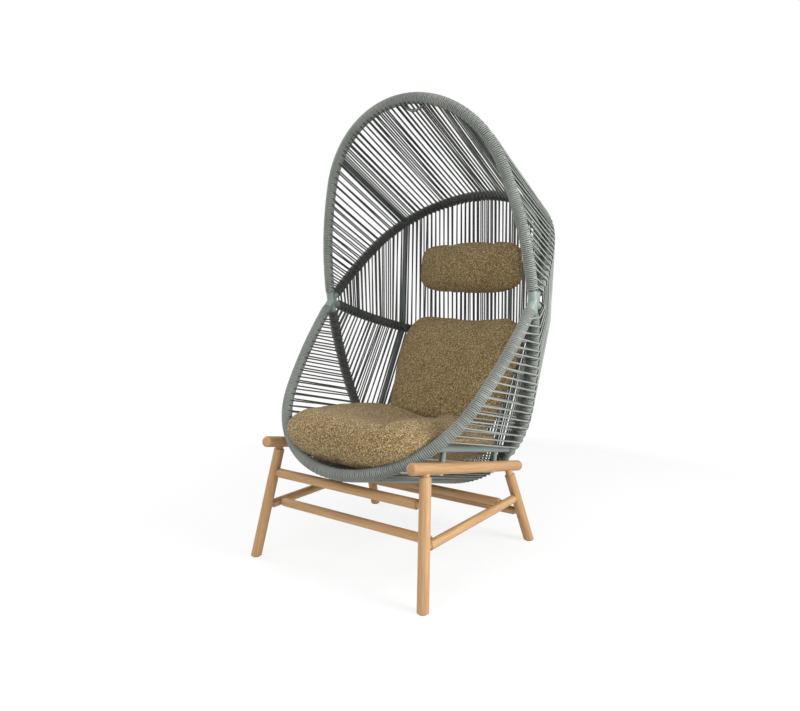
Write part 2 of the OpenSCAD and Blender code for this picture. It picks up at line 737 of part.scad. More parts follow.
// The seat cushion ends in front of the lower half of the back cushion
seat_half_width = pod_half_width - seat_side_inset;
seat_front = hoop_point(lower_rim, 0).y - seat_overhang;
seat_front_seam = hoop_point(lower_rim, 0).z + seat_seam_rise;
seat_rear_seam = seat_front_seam - seat_slope;
function back_face_y(z) =
    seam_y(z, back_half_width, back_bottom, back_top, back_seam_inset)
    - back_crown * swell((back_middle - z) / (back_middle - back_bottom), back_fullness);
lowest_touch = max(seat_rear_seam, back_bottom);
seat_rear = min([for (z = [lowest_touch : back_middle]) back_face_y(z)]) - seat_back_gap;
function seat_point(spot) =
    let (x = seat_half_width * spot.x * (1 + seat_flare_share * spot.y),
         y = (seat_front + seat_rear) / 2 + (seat_rear - seat_front) / 2 * spot.y,
         seam = seat_front_seam - seat_slope * (spot.y + 1) / 2,
         rise = swell(spot.z, seat_fullness),
         floor = floor_z(x, y))
    [x, y, spot[3] ? max(seam, floor) + (seat_crown + seat_rim_rise * pow(spot.z, 2)) * rise
                   : max(seam - seat_belly * rise, floor)];

module pad(points) {
    color(BOUCLE) placed() polyhedron(points = points, faces = pad_faces);
}

module seat_cushion() {
    pad([for (spot = pad_spots(seat_corner_share)) seat_point(spot)]);
}

module upright_pad(half_width, bottom, top, inset, crown, corner_share) {
    pad([for (spot = pad_spots(corner_share))
        upright_point(spot, half_width, bottom, top, inset, crown)]);
}

module back_cushion() {
    upright_pad(back_half_width, back_bottom, back_top, back_seam_inset, back_crown,
        back_corner_share);
}

module headrest_cushion() {
    upright_pad(head_half_width, head_bottom, head_top, head_seam_inset, head_crown,
        head_corner_share);
}

hood_rim_tube();
arch_tube();
belt_tube();
seat_hoop_tube();
lower_rim_tube();
hood_rim_winding();
arch_winding();
belt_winding();
seat_hoop_winding();
lower_rim_winding();
side_joint_left();
side_joint_right();
hood_strut_left();
hood_strut_right();
back_post_left();
back_post_right();
lower_post_left();
lower_post_right();
seat_rail_left();
seat_rail_right();
hood_ropes();
back_ropes();
lower_back_ropes();
seat_ropes();
top_rail_left();
top_rail_right();
front_leg_left();
front_leg_right();
rear_leg_left();
rear_leg_right();
side_stretcher_left();
side_stretcher_right();
front_rail();
front_cross_rail();
rear_cross_rail();
rear_rail();
foot_glides();
pod_spacers();
pod_bolts();
bolt_washers();
seat_cushion();
back_cushion();
headrest_cushion();
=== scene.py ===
"""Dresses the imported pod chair: rope windings, strung ropes, stuffed cushions, wood, paint and steel."""

import math

import bpy
import bmesh
import numpy as np
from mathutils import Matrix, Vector, noise


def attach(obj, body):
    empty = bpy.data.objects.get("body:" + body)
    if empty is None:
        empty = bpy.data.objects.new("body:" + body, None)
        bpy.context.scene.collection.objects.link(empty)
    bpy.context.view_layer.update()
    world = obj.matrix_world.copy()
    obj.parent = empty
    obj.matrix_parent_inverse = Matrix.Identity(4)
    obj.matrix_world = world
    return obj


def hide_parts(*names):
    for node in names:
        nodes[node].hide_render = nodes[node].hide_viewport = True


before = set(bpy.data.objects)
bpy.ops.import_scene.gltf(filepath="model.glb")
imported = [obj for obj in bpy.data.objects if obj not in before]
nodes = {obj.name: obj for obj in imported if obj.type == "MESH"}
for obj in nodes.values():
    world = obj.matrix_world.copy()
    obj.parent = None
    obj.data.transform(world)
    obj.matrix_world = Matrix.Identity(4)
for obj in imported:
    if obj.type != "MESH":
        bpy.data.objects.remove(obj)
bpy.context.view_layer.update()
rng = np.random.default_rng(11)

# The pod, in metres and degrees, as in part.scad
HALF_WIDTH = 0.416
JOINT = np.array([0.0, 0.026649, 0.830])
HOOPS = {
    "hood_rim": (0.660, 100.0, 20.5, 0.034),
    "arch": (0.582, 45.0, 17.0, 0.038),
    "belt": (0.450, -20.0, 50.0, 0.038),
    "seat_hoop": (0.655, -80.0, 15.0, 0.038),
    "lower_rim": (0.681, 228.0, 15.0, 0.034),
}
PANELS = {
    "hood_ropes": ("hood_rim", "arch"),
    "back_ropes": ("arch", "belt"),
    "lower_back_ropes": ("belt", "seat_hoop"),
    "seat_ropes": ("seat_hoop", "lower_rim"),
}

# Ropes, in metres
ROPE_R = 0.0027
ROPE_SIDES = 8
# Distance of a rope's middle from the middle of the hoop that it lies on
LANE = 0.0156
WINDING_PITCH = 0.0060
TURN_STEPS = 14
# Half of the width of a wound rope along its hoop, as a share of the pitch
WOUND_HALF_WIDTH = 0.495
WOUND_WANDER = 0.00010
WOUND_LIFT = 0.00008
# Lengths along each hoop from its middle: the strut, then the first and the last rope beyond it
ROPE_PLACES = {
    "hood_rim": (0.336, 0.354, 0.822),
    "arch": (0.328, 0.345, 0.757),
    "belt": (0.327, 0.340, 0.632),
    "seat_hoop": (0.330, 0.347, 0.824),
    "lower_rim": (0.331, 0.346, 0.832),
}
# The number at the strut, where there is no rope, and how many ropes follow it on each side
STRUT_ROPE, SIDE_ROPES = 18, 19
LAST_ROPE = STRUT_ROPE + SIDE_ROPES
# Distance of the outer and the inner rope of one number from that number's place, along the hoop
LAYER_SHIFT = 0.0024
STRUNG_WANDER = 0.0006
# A strung rope turns this far round each hoop, in so many steps
WRAP_TURN = math.radians(110)
WRAP_STEPS = 9
# How far it stands off the winding, and the turn over which it then dives into the winding
RIM_WRAP = (0.0012, math.radians(40))
HOOP_WRAP = (0.0044, math.radians(95))
DIVE = 0.0016
# Spacers under the seat: x, and the share of the way from the seat hoop to the lower rim
SPACERS = ((0.2881, 0.875), (0.2993, 0.219))
SPACER_CLEAR = 0.0115
# The tied end of the rope: where it starts on the hood rim, its length along the rim and its sag
TAIL_START, TAIL_LENGTH, TAIL_SAG = 0.004, 0.084, 0.024
TAIL_SHIFTS = (-0.0052, 0.0, 0.0050)

# Cushions
CLOTH_FRAMES = 20
COVER_PRESSURE = 4.0
# Start, end, depth and width of each wrinkle on a cushion's front. The ends are x and z.
SEAT_WRINKLES = (
    ((0.214, 0.458), (0.197, 0.434), 0.0042, 0.0045),
    ((0.024, 0.436), (0.018, 0.418), 0.0034, 0.0045),
    ((-0.052, 0.436), (-0.056, 0.420), 0.0028, 0.0045),
    ((-0.122, 0.428), (-0.124, 0.410), 0.0032, 0.0045),
    ((0.010, 0.462), (-0.018, 0.446), 0.0026, 0.0050),
)
BACK_WRINKLES = (((0.02, 0.475), (0.10, 0.452), 0.003, 0.006),)

# Light: name, place, target, size and power of each lamp
LAMPS = (
    ("key_right", (3.0, 0.1, 1.6), (0.2, 0.0, 0.8), (1.4, 2.0), 130),
    ("fill_left", (-2.8, -0.4, 1.5), (-0.2, 0.0, 0.8), (1.4, 2.0), 50),
    ("top", (0.2, -1.0, 3.3), (0.0, -0.1, 0.4), (2.2, 2.2), 34),
    ("front", (0.2, -3.3, 1.3), (0.0, 0.0, 0.6), (2.0, 1.6), 38),
)
WORLD_LIGHT = 0.34
FLOOR_HALF = 14.0

# Camera
camera_data = bpy.data.cameras.new("camera")
camera = bpy.data.objects.new("camera", camera_data)
bpy.context.scene.collection.objects.link(camera)
camera.location = (1.235, -1.8164, 0.848)
camera.rotation_euler = (math.radians(84.68), 0.0, math.radians(35.72))
camera_data.sensor_width = 36.0
camera_data.lens = 28.665
camera_data.clip_end = 60.0
bpy.context.scene.camera = camera
bpy.context.scene.view_settings.view_transform = "Standard"


# Hoops
class Hoop:
    """The centre line of one hoop. s is the length along it from its middle, positive to the right."""

    def __init__(self, reach, tilt, shoulder, arm):
        turn = math.radians(shoulder)
        share = math.sin(turn) + math.cos(turn) - 1
        self.reach, self.turn, self.arm = reach, turn, arm
        self.crown_r = (HALF_WIDTH * math.sin(turn) - reach * (1 - math.cos(turn))) / share
        self.side_r = (reach * math.cos(turn) - HALF_WIDTH * (1 - math.sin(turn))) / share
        self.way = np.array([0.0, math.cos(math.radians(tilt)), math.sin(math.radians(tilt))])
        self.normal = np.cross([1.0, 0.0, 0.0], self.way)
        self.half_crown = self.crown_r * (math.pi / 2 - turn)
        self.half = self.half_crown + self.side_r * turn

    def at(self, s):
        """Points, tangents and in-plane outward normals at lengths s."""
        s = np.asarray(s, float)
        side, a = np.sign(s), np.abs(s)
        on_crown = a < self.half_crown
        phi = a / self.crown_r
        psi = self.turn - (a - self.half_crown) / self.side_r
        x = np.where(on_crown, self.crown_r * np.sin(phi), HALF_WIDTH - self.side_r * (1 - np.cos(psi)))
        reach = np.where(
            on_crown, self.reach - self.crown_r * (1 - np.cos(phi)), self.side_r * np.sin(psi)
        )
        along_x = np.where(on_crown, np.cos(phi), np.sin(psi))
        along_way = -side * np.where(on_crown, np.sin(phi), np.cos(psi))
        point = JOINT + np.outer(side * x, [1, 0, 0]) + np.outer(reach, self.way)
        tangent = np.outer(along_x, [1, 0, 0]) + np.outer(along_way, self.way)
        return point, tangent, -np.cross(tangent, self.normal)


hoops = {name: Hoop(*sizes) for name, sizes in HOOPS.items()}


# Meshes
def new_object(name, mesh):
    obj = bpy.data.objects.new(name, mesh)
    bpy.context.scene.collection.objects.link(obj)
    return obj


def spread(values, rings):
    """One value for each quad between rings."""
    return np.broadcast_to(values, (rings, ROPE_SIDES))


def stack(*corners):
    """Rows of eight numbers, the u and v of a quad's four corners."""
    return np.stack(corners, -1).reshape(-1, 8)


def tube_mesh(name, tubes, cells_wide):
    """One mesh of closed tubes. A tube is (centres, axis_a, axis_b, runs): each ring is centre + a cos + b sin.
    runs is the length along the tube at each ring, for the pattern's map. The map for baking has one cell per
    tube, cells_wide of them side by side."""
    sides = ROPE_SIDES
    j = np.arange(sides)
    turn = j * 2 * math.pi / sides
    circle = np.stack([np.cos(turn), np.sin(turn)], -1)
    rows = math.ceil(len(tubes) / cells_wide)
    verts, quads, cap_faces, way, bake, cap_bake = [], [], [], [], [], []
    base = 0
    for index, (centres, axis_a, axis_b, runs) in enumerate(tubes):
        n = len(centres)
        ring = (
            centres[:, None, :]
            + axis_a[:, None, :] * np.cos(turn)[None, :, None]
            + axis_b[:, None, :] * np.sin(turn)[None, :, None]
        )
        verts.append(ring.reshape(-1, 3))
        k = np.arange(n - 1)[:, None]
        a = base + k * sides + j
        b = base + k * sides + (j + 1) % sides
        quads.append(np.stack([a, b, b + sides, a + sides], -1).reshape(-1, 4))
        cap_faces += [base + j[::-1], base + (n - 1) * sides + j]
        base += n * sides

        u0, u1 = spread(j / sides, n - 1), spread((j + 1) / sides, n - 1)
        v0, v1 = spread(runs[:-1, None], n - 1), spread(runs[1:, None], n - 1)
        way.append(stack(u0, v0, u1, v0, u1, v1, u0, v1))
        cell_u, cell_v = index % cells_wide, index // cells_wide
        share = (runs - runs[0]) / max(runs[-1] - runs[0], 1e-9)
        length = (cell_u + 0.04 + 0.92 * share) / cells_wide
        w0, w1 = spread(length[:-1, None], n - 1), spread(length[1:, None], n - 1)
        r0, r1 = (cell_v + 0.08 + 0.84 * u0) / rows, (cell_v + 0.08 + 0.84 * u1) / rows
        bake.append(stack(w0, r0, w0, r1, w1, r1, w1, r0))
        for end in (0.02, 0.98):
            cap_bake.append((circle * 0.01 + [cell_u + end, cell_v + 0.5]) / [cells_wide, rows])
    verts, quads = np.concatenate(verts), np.concatenate(quads)
    mesh = bpy.data.meshes.new(name)
    loops = np.concatenate([quads.ravel(), np.concatenate(cap_faces)])
    starts = np.concatenate([
        np.arange(len(quads)) * 4, len(quads) * 4 + np.arange(len(cap_faces)) * sides,
    ])
    mesh.vertices.add(len(verts))
    mesh.vertices.foreach_set("co", verts.astype(np.float32).ravel())
    mesh.loops.add(len(loops))
    mesh.loops.foreach_set("vertex_index", loops.astype(np.int32))
    mesh.polygons.add(len(starts))
    mesh.polygons.foreach_set("loop_start", starts.astype(np.int32))
    mesh.update(calc_edges=True)
    way = np.concatenate([np.concatenate(way).reshape(-1, 2), np.tile(circle * 0.0004, (len(cap_faces), 1))])
    bake = np.concatenate([np.concatenate(bake).reshape(-1, 2), np.concatenate(cap_bake)])
    for label, values in (("rope_way", way), ("OFBake", bake)):
        layer = mesh.uv_layers.new(name=label)
        layer.data.foreach_set("uv", values.astype(np.float32).ravel())
    mesh.polygons.foreach_set("use_smooth", np.ones(len(starts), bool))
    mesh.validate()
    mesh.update()
    return mesh


def runs_of(points):
    """The length along a path at each of its points."""
    steps = np.linalg.norm(np.diff(points, axis=0), axis=1)
    return np.concatenate([[0.0], np.cumsum(steps)])


def unit(v):
    """A vector, or rows of them, at length 1."""
    return v / np.linalg.norm(v, axis=-1, keepdims=True)


# Windings: one helical rope around each hoop
winding_turns = {}


def winding(name, hoop):
    """The rope around a hoop. Its start and pitch are kept for the strung ropes, which dive between its turns."""
    start, end = -(hoop.half - hoop.arm), hoop.half - hoop.arm
    turns = round((end - start - 2 * ROPE_R) / WINDING_PITCH)
    pitch = (end - start - 2 * ROPE_R) / turns
    steps = np.arange(turns * TURN_STEPS + 1)
    angle = steps * 2 * math.pi / TURN_STEPS
    which = np.arange(turns + 2)
    wander = np.interp(angle / (2 * math.pi), which, rng.normal(0, WOUND_WANDER, turns + 2))
    lift = np.interp(angle / (2 * math.pi), which, rng.normal(0, WOUND_LIFT, turns + 2))
    s = start + ROPE_R + pitch * angle / (2 * math.pi) + wander
    point, tangent, out = hoop.at(s)
    side = np.broadcast_to(hoop.normal, point.shape)
    radial = out * np.cos(angle)[:, None] + side * np.sin(angle)[:, None]
    centres = point + radial * (LANE + lift)[:, None]
    winding_turns[name] = (start + ROPE_R, pitch)
    return centres, radial * ROPE_R, tangent * (pitch * WOUND_HALF_WIDTH), runs_of(centres)


# Strung ropes: an outer and an inner layer on each panel
def snapped(name, s, angle):
    """The length nearest to s at which the winding's rope passes the given angle."""
    first, pitch = winding_turns[name]
    k = round((s - first) / pitch - angle / (2 * math.pi))
    return first + pitch * (k + angle / (2 * math.pi))


def wrap(name, s, way, layer):
    """The rope from where it dives under the winding to where it leaves for the other hoop, as points and
    side vectors. way points to the other hoop, layer is +1 outside and -1 inside."""
    hoop = hoops[name]
    (point,), (tangent,), (out_n,) = hoop.at([s])
    out = unit(np.cross(tangent, way)) * layer
    across = unit(way - tangent * (way @ tangent))
    angle = math.atan2(out @ hoop.normal, out @ out_n) % (2 * math.pi)
    s = snapped(name, s, angle)
    (point,), (tangent,), _ = hoop.at([s])
    psi = np.linspace(WRAP_TURN, 0, WRAP_STEPS + 1)
    stand_off, turned_in = RIM_WRAP if name.endswith("rim") else HOOP_WRAP
    dive = np.clip(psi / turned_in, 0, 1)
    radius = LANE + stand_off - (stand_off + DIVE) * dive * dive * (3 - 2 * dive)
    lean = (way @ tangent) / max(np.linalg.norm(np.cross(way, tangent)), 0.2)
    # The rope's lean to the hoop dies away at this rate as it turns round
    rate = 1.6
    shift = -lean * LANE * (1 - np.exp(-rate * psi)) / rate
    points = (
        point
        + (out[None] * np.cos(psi)[:, None] - across[None] * np.sin(psi)[:, None]) * radius[:, None]
        + tangent[None] * shift[:, None]
    )
    return points, tangent, out


def rope_place(name, number):
    """The length along a hoop at which a rope meets it. Ropes are counted from the middle."""
    strut, first, last = ROPE_PLACES[name]
    places = np.concatenate([np.linspace(0, strut, STRUT_ROPE + 1), np.linspace(first, last, SIDE_ROPES)])
    return math.copysign(places[abs(number)], number)


def strung_rope(first, second, number, layer, jitter):
    """One rope from hoop to hoop, wrapped round both, with a slight bow."""
    s_a, s_b = (rope_place(name, number) + layer * LAYER_SHIFT for name in (first, second))
    (p,), _, _ = hoops[first].at([s_a])
    (q,), _, _ = hoops[second].at([s_b])
    way = unit(q - p)
    start, tangent_a, out_a = wrap(first, s_a, way, layer)
    end, tangent_b, _ = wrap(second, s_b, -way, -layer)
    share = np.array([0.12, 0.5, 0.88])
    straight = start[-1] + (end[-1] - start[-1]) * share[:, None]
    bow = np.array([0.5, 1.0, 0.5])[:, None]
    straight = straight + bow * (out_a * jitter[0] + unit(np.cross(way, out_a)) * jitter[1])
    path = np.concatenate([start, straight, end[::-1]])
    ahead = unit(np.gradient(path, axis=0))
    mix = np.linspace(0, 1, len(path))[:, None]
    sideways = tangent_a * (1 - mix) + tangent_b * mix * np.sign(tangent_a @ tangent_b)
    sideways = unit(sideways - ahead * np.sum(sideways * ahead, axis=1, keepdims=True))
    lifted = np.cross(ahead, sideways)
    return path, sideways * ROPE_R, lifted * ROPE_R, runs_of(path)


def tied_tail(shift):
    """A slack loop of the rope's end, tied in under the crown of the hood."""
    t = np.linspace(0, 1, 18)
    point, _, out = hoops["hood_rim"].at(TAIL_START + TAIL_LENGTH * t + shift * 0.6)
    drop = LANE - 0.002 + TAIL_SAG * np.sin(math.pi * t) ** 0.7 + shift * 0.5
    path = point - out * drop[:, None] + hoops["hood_rim"].normal * shift
    path += np.outer(0.0018 * np.sin(t * 9 + shift * 900), [0, 1, 0])
    ahead = unit(np.gradient(path, axis=0))
    across = unit(np.cross(ahead, out))
    return path, across * ROPE_R, np.cross(ahead, across) * ROPE_R, runs_of(path)


def beside_spacer(number):
    """Whether an outer seat rope would run into a spacer."""
    x_a = hoops["seat_hoop"].at([rope_place("seat_hoop", number)])[0][0, 0]
    x_b = hoops["lower_rim"].at([rope_place("lower_rim", number)])[0][0, 0]
    return any(abs(abs(x_a + (x_b - x_a) * share) - x) < SPACER_CLEAR for x, share in SPACERS)


def turn_cells(mesh, rings):
    """Gives each turn of a winding a cell of its own in the map for baking. The map of one long rope would be a
    hair wide."""
    cells = math.ceil(math.sqrt(rings / TURN_STEPS))
    step = np.repeat(np.arange(rings - 1), ROPE_SIDES)
    turn_index, part = step // TURN_STEPS, step % TURN_STEPS
    j = np.tile(np.arange(ROPE_SIDES), rings - 1)
    cell_u, cell_v = turn_index % cells, turn_index // cells
    u0, u1 = ((cell_u + 0.05 + 0.9 * (part + end) / TURN_STEPS) / (cells + 1) for end in (0, 1))
    v0, v1 = ((cell_v + 0.1 + 0.8 * (j + end) / ROPE_SIDES) / (cells + 1) for end in (0, 1))
    values = stack(u0, v0, u0, v1, u1, v1, u1, v0).reshape(-1, 2)
    layer = mesh.uv_layers["OFBake"]
    flat = np.zeros(len(mesh.loops) * 2, np.float32)
    layer.data.foreach_get("uv", flat)
    flat = flat.reshape(-1, 2)
    flat[: len(values)] = values
    flat[len(values):] = flat[len(values):] * 0.001 + 0.999
    layer.data.foreach_set("uv", flat.ravel())


for hoop_name, hoop in hoops.items():
    tube = winding(hoop_name, hoop)
    piece = new_object(hoop_name + "_turns", tube_mesh(hoop_name + "_turns", [tube], 1))
    turn_cells(piece.data, len(tube[0]))
    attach(piece, "root")
    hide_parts(hoop_name + "_winding")

for panel, (first, second) in PANELS.items():
    tubes = []
    for number in range(-LAST_ROPE, LAST_ROPE + 1):
        for layer in (1, -1):
            jitter = rng.normal(0, STRUNG_WANDER, 2)
            beside = panel == "seat_ropes" and layer == 1 and beside_spacer(number)
            if abs(number) != STRUT_ROPE and not beside:
                tubes.append(strung_rope(first, second, number, layer, jitter))
    if panel == "hood_ropes":
        tubes += [tied_tail(shift) for shift in TAIL_SHIFTS]
    piece = new_object(panel + "_strung", tube_mesh(panel + "_strung", tubes, 4))
    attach(piece, "root")
    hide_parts(panel)


# Materials
class Tree:
    """Short calls for a material's nodes."""

    def __init__(self, name):
        self.material = bpy.data.materials.new(name)
        self.material.use_nodes = True
        self.nodes, self.links = self.material.node_tree.nodes, self.material.node_tree.links
        self.shader = self.nodes["Principled BSDF"]

    def node(self, kind, inputs=None, **settings):
        n = self.nodes.new(kind)
        for key, value in settings.items():
            setattr(n, key, value)
        for key, value in (inputs or {}).items():
            self.put(n, key, value)
        return n

    def put(self, n, key, value):
        socket = n.inputs[key]
        if isinstance(value, bpy.types.NodeSocket):
            self.links.new(value, socket)
        else:
            socket.default_value = (*value, 1.0) if socket.type == "RGBA" and len(value) == 3 else value

    def surface(self, **values):
        """Sets or links the shader's own sockets."""
        for key, value in values.items():
            self.put(self.shader, key.replace("_", " "), value)

    def coords(self, turn=(0, 0, 0), scale=(1, 1, 1), shift=(0, 0, 0), uv=None):
        if uv:
            source = self.node("ShaderNodeUVMap", uv_map=uv).outputs["UV"]
        else:
            source = self.node("ShaderNodeTexCoord").outputs["Object"]
        turned = self.node("ShaderNodeMapping", {"Vector": source, "Location": shift, "Rotation": turn})
        scaled = self.node("ShaderNodeMapping", {"Vector": turned.outputs["Vector"], "Scale": scale})
        return scaled.outputs["Vector"]

    def noise(self, vector, scale, detail=2.0, rough=0.5, distortion=0.0):
        return self.node("ShaderNodeTexNoise", {
            "Vector": vector, "Scale": scale, "Detail": detail, "Roughness": rough, "Distortion": distortion,
        }).outputs["Fac"]

    def cells(self, vector, scale):
        return self.node("ShaderNodeTexVoronoi", {"Vector": vector, "Scale": scale})

    def ramp(self, fac, *stops):
        n = self.node("ShaderNodeValToRGB", {"Fac": fac})
        ramp = n.color_ramp
        while len(ramp.elements) < len(stops):
            ramp.elements.new(1.0)
        for element, (place, colour) in zip(ramp.elements, stops):
            element.position, element.color = place, (*colour, 1.0)
        return n.outputs["Color"]

    def grey(self, fac, *stops):
        return self.ramp(fac, *((place, (v, v, v)) for place, v in stops))

    def mix(self, fac, a, b, blend="MIX"):
        n = self.node("ShaderNodeMix", data_type="RGBA", blend_type=blend)
        self.put(n, 0, fac)
        self.put(n, 6, a)
        self.put(n, 7, b)
        return n.outputs[2]

    def math(self, operation, *values):
        return self.node("ShaderNodeMath", dict(enumerate(values)), operation=operation).outputs[0]

    def vector_math(self, operation, *values):
        return self.node("ShaderNodeVectorMath", dict(enumerate(values)), operation=operation).outputs

    def bump(self, height, strength, distance, normal=None):
        inputs = {"Height": height, "Strength": strength, "Distance": distance}
        if normal is not None:
            inputs["Normal"] = normal
        return self.node("ShaderNodeBump", inputs).outputs["Normal"]


def srgb(r, g, b):
    return tuple((v / 255 / 12.92) if v <= 10 else ((v / 255 + 0.055) / 1.055) ** 2.4 for v in (r, g, b))


def rope_material(name, wound, share, inner_shade_share):
    """Braided rope. Wound rope gets painted shade where it faces its neighbours. share scales the tone, and
    on faces that look into the pod the tone is further scaled by the inner shade share, as painted shade."""
    t = Tree(name)
    split = t.node("ShaderNodeSeparateXYZ", {"Vector": t.coords(uv="rope_way")})
    around, length = split.outputs["X"], split.outputs["Y"]
    strands = []
    for sign in (1.0, -1.0):
        phase = t.math("ADD", t.math("MULTIPLY", around, sign * 8.0), t.math("MULTIPLY", length, 480.0))
        strands.append(t.math("SINE", t.math("MULTIPLY", phase, 2 * math.pi)))
    braid = t.math("MAXIMUM", *strands)
    place = t.coords()
    broad = t.noise(place, 9.0, 3.0)
    fine = t.noise(place, 420.0, 3.0, 0.6)
    fibre = t.noise(place, 1500.0, 2.0)
    shades = ((88, 92, 87), (101, 105, 100), (115, 119, 114))
    dark, mid, light = (srgb(*(v * share for v in shade)) for shade in shades)
    tone = t.ramp(broad, (0.3, dark), (0.52, mid), (0.75, light))
    tone = t.mix(0.3, tone, t.ramp(fine, (0.3, dark), (0.7, light)))
    tone = t.mix(t.grey(braid, (0.0, 0.16), (0.6, 0.0)), tone, srgb(52, 55, 52))
    if wound:
        # Painted shade in the grooves, where the wound rope faces its neighbours
        painted_groove_shade = t.math("COSINE", t.math("MULTIPLY", around, 2 * math.pi))
        tone = t.mix(t.grey(painted_groove_shade, (0.3, 1.0), (0.88, 0.0)), tone, srgb(28, 30, 28))
    if inner_shade_share < 1:
        # Painted shade on faces that look into the pod, darker by the inner shade share
        face = t.node("ShaderNodeNewGeometry").outputs
        away = t.vector_math("NORMALIZE", t.vector_math("SUBTRACT", face["Position"], tuple(JOINT))["Vector"])
        outward = t.vector_math("DOT_PRODUCT", away["Vector"], face["Normal"])["Value"]
        lit = t.math("MULTIPLY_ADD", outward, 0.5, 0.5)
        tone = t.mix(1.0, tone, t.grey(lit, (0.36, inner_shade_share), (0.7, 1.0)), "MULTIPLY")
    t.surface(
        Base_Color=tone,
        Roughness=t.grey(fine, (0.3, 0.5), (0.7, 0.66)),
        Normal=t.bump(fibre, 0.25, 0.0002, t.bump(braid, 0.5, 0.0003)),
        Specular_IOR_Level=0.35, Sheen_Weight=0.08, Sheen_Roughness=0.4,
    )
    return t.material


def paint_material(name, share):
    """Satin powder coat. share scales the tone."""
    t = Tree(name)
    place = t.coords()
    shades = ((120, 133, 128), (133, 146, 141), (156, 166, 161))
    dark, light, dusty = (srgb(*(v * share for v in shade)) for shade in shades)
    peel = t.noise(place, 900.0, 3.0, 0.55)
    tone = t.ramp(t.noise(place, 6.0, 3.0), (0.3, dark), (0.7, light))
    dust = t.noise(place, 60.0, 6.0, 0.7)
    tone = t.mix(t.grey(dust, (0.55, 0.0), (0.8, 0.25)), tone, dusty)
    t.surface(
        Base_Color=tone, Roughness=t.grey(dust, (0.3, 0.36), (0.7, 0.5)), Normal=t.bump(peel, 0.22, 0.0003),
    )
    return t.material


def steel_material():
    t = Tree("stainless_steel")
    place = t.coords(scale=(1.0, 1.0, 12.0))
    brushed = t.noise(place, 300.0, 3.0)
    t.surface(
        Base_Color=t.ramp(brushed, (0.3, srgb(176, 178, 178)), (0.7, srgb(204, 205, 204))),
        Roughness=t.grey(brushed, (0.3, 0.24), (0.7, 0.4)),
        Normal=t.bump(brushed, 0.1, 0.0001),
        Metallic=1.0,
    )
    return t.material


def glide_material():
    t = Tree("nylon_glide")
    place = t.coords()
    grain = t.noise(place, 700.0, 4.0, 0.6)
    t.surface(
        Base_Color=t.ramp(grain, (0.3, srgb(52, 48, 44)), (0.7, srgb(74, 69, 63))),
        Roughness=t.grey(grain, (0.3, 0.55), (0.7, 0.75)),
        Normal=t.bump(grain, 0.3, 0.0004),
    )
    return t.material


def teak_material(name, axis, seed):
    """Light oiled teak whose grain runs along axis."""
    t = Tree("teak_" + name)
    turn = Vector((0, 0, 1)).rotation_difference(Vector(axis)).inverted().to_euler("XYZ")
    rng_wood = np.random.default_rng(100 + seed)
    shift = tuple(rng_wood.uniform(-3, 3, 3))
    heart = tuple(rng_wood.uniform(-0.02, 0.02, 3))

    def drawn_out(share, start=shift):
        return t.coords(turn=tuple(turn), shift=start, scale=(1.0, 1.0, share))

    along = drawn_out(0.045)
    streaks = t.noise(along, 210.0, 5.0, 0.62, 0.2)
    figure = t.noise(along, 34.0, 4.0, 0.55, 0.9)
    broad = t.noise(drawn_out(0.22), 8.0, 3.0, 0.5)
    pores = t.noise(drawn_out(0.03), 900.0, 2.0, 0.6)
    rings = t.node("ShaderNodeTexWave", {
        "Vector": drawn_out(0.08, heart), "Scale": 55.0, "Distortion": 5.0, "Detail": 3.0,
        "Detail Scale": 1.4, "Detail Roughness": 0.55,
    }, wave_type="RINGS", rings_direction="Z").outputs["Fac"]
    tone = t.ramp(
        broad, (0.28, srgb(154, 116, 74)), (0.5, srgb(169, 132, 88)), (0.74, srgb(182, 147, 103)),
    )
    tone = t.mix(t.grey(figure, (0.35, 0.0), (0.72, 0.5)), tone, srgb(142, 103, 64))
    tone = t.mix(t.grey(rings, (0.55, 0.0), (1.0, 0.34)), tone, srgb(137, 96, 60))
    tone = t.mix(t.grey(streaks, (0.46, 0.0), (0.72, 0.5)), tone, srgb(195, 162, 117))
    tone = t.mix(t.grey(pores, (0.6, 0.0), (0.74, 0.55)), tone, srgb(106, 72, 45))
    t.surface(
        Base_Color=tone,
        Roughness=t.grey(streaks, (0.3, 0.48), (0.7, 0.66)),
        Normal=t.bump(pores, 0.25, -0.0004, t.bump(streaks, 0.22, 0.0005)),
        Coat_Weight=0.06, Coat_Roughness=0.35,
    )
    return t.material


